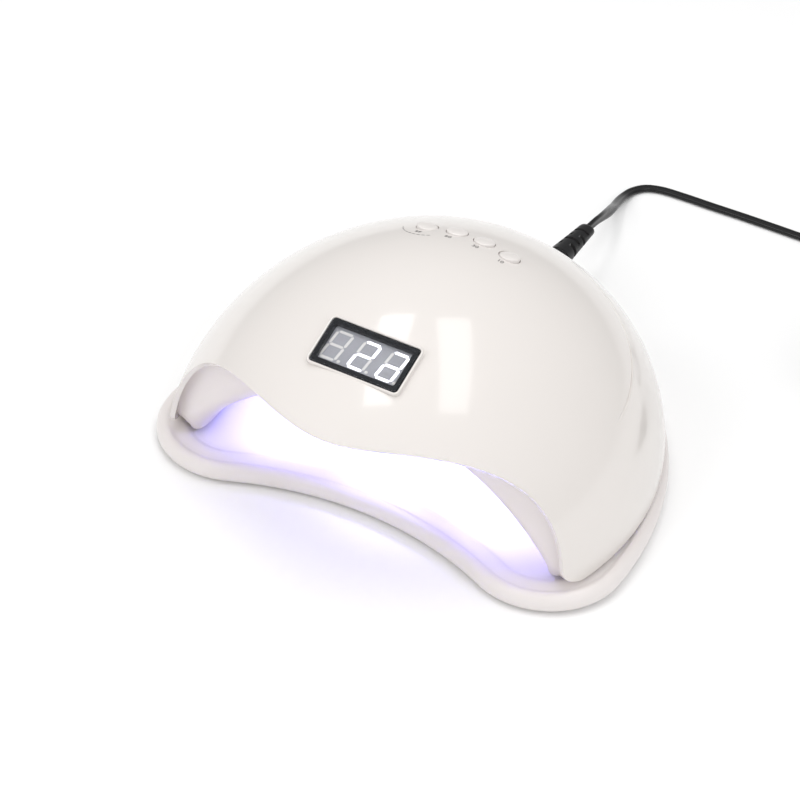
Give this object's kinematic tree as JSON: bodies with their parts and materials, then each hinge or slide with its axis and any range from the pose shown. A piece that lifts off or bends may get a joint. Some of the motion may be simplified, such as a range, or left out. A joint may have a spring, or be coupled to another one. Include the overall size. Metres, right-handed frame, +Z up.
{
  "type": "uv led nail lamp",
  "caption": "Domed white gel nail curing lamp with an arched hand opening, digit display, push buttons, lift-off tray and a corded wall adapter.",
  "frame": {"origin": "centre of the lamp's footprint, without its cord, at the underside of its feet", "axes": "+X across the lamp to the right as seen from the hand opening, +Y towards the rear and the cord, +Z up"},
  "size_m": [0.2905, 0.3847, 0.102],
  "materials": {
    "abs_white": "gloss warm white moulded ABS",
    "tray_white": "satin pinkish white moulded ABS",
    "liner_white": "satin white reflector plastic",
    "smoked_window": "gloss black bordered acrylic",
    "display_grey": "matte grey display face",
    "board_green": "solder mask green",
    "board_white": "white coated aluminium board",
    "black_plastic": "satin black",
    "cord_black": "semi-gloss black PVC",
    "foot_rubber": "matte dark grey rubber",
    "steel": "zinc plated steel",
    "nickel": "nickel plated"
  },
  "bodies": {
    "tray": {"base_tray": "tray_white", "foot_front_left": "foot_rubber", "foot_front_right": "foot_rubber", "foot_rear_left": "foot_rubber", "foot_rear_right": "foot_rubber", "keeper_plate_front_left": "steel", "keeper_plate_front_right": "steel", "keeper_plate_rear_left": "steel", "keeper_plate_rear_right": "steel", "cord_run": "cord_black", "cord_tail": "cord_black", "cord_coil": "cord_black", "adapter_relief": "cord_black", "coil_tie": "black_plastic", "adapter_body": "black_plastic", "adapter_blade_left": "nickel", "adapter_blade_right": "nickel"},
    "head": {"outer_shell": "abs_white", "inner_reflector": "liner_white", "screw_left": "steel", "screw_right": "steel", "screw_rear_left": "steel", "screw_rear_right": "steel", "magnet_front_left": "nickel", "magnet_front_right": "nickel", "magnet_rear_left": "nickel", "magnet_rear_right": "nickel", "display_window": "smoked_window", "digit_module": "display_grey", "control_board": "board_green", "button_board": "board_green", "controller_chip": "black_plastic", "buzzer": "black_plastic", "dc_jack": "black_plastic", "sensor_emitter": "black_plastic", "sensor_receiver": "black_plastic", "dc_plug": "black_plastic", "capacitor": "nickel", "switch_99s": "black_plastic", "switch_60s": "black_plastic", "switch_30s": "black_plastic", "switch_10s": "black_plastic", "led_board_ceiling_left": "board_white", "led_board_ceiling_right": "board_white", "led_board_ceiling_rear": "board_white", "led_board_side_left": "board_white", "led_board_side_right": "board_white", "led_board_rear": "board_white", "strain_relief": "cord_black"},
    "button_99s": {"button_99s": "abs_white", "plunger_99s": "black_plastic"},
    "button_60s": {"button_60s": "abs_white", "plunger_60s": "black_plastic"},
    "button_30s": {"button_30s": "abs_white", "plunger_30s": "black_plastic"},
    "button_10s": {"button_10s": "abs_white", "plunger_10s": "black_plastic"}
  },
  "joints": [
    {"name": "head_lift", "type": "slide", "parent": "tray", "child": "head", "axis": [0, 0, 1], "range_m": [0, 0.04]},
    {"name": "press_99s", "type": "slide", "parent": "head", "child": "button_99s", "axis": [0, -0.2961, -0.9552], "range_m": [0, 0.0006], "stiffness_N_per_m": 1500, "springref_m": -0.0006},
    {"name": "press_60s", "type": "slide", "parent": "head", "child": "button_60s", "axis": [0, -0.2961, -0.9552], "range_m": [0, 0.0006], "stiffness_N_per_m": 1500, "springref_m": -0.0006},
    {"name": "press_30s", "type": "slide", "parent": "head", "child": "button_30s", "axis": [0, -0.2961, -0.9552], "range_m": [0, 0.0006], "stiffness_N_per_m": 1500, "springref_m": -0.0006},
    {"name": "press_10s", "type": "slide", "parent": "head", "child": "button_10s", "axis": [0, -0.2961, -0.9552], "range_m": [0, 0.0006], "stiffness_N_per_m": 1500, "springref_m": -0.0006}
  ]
}
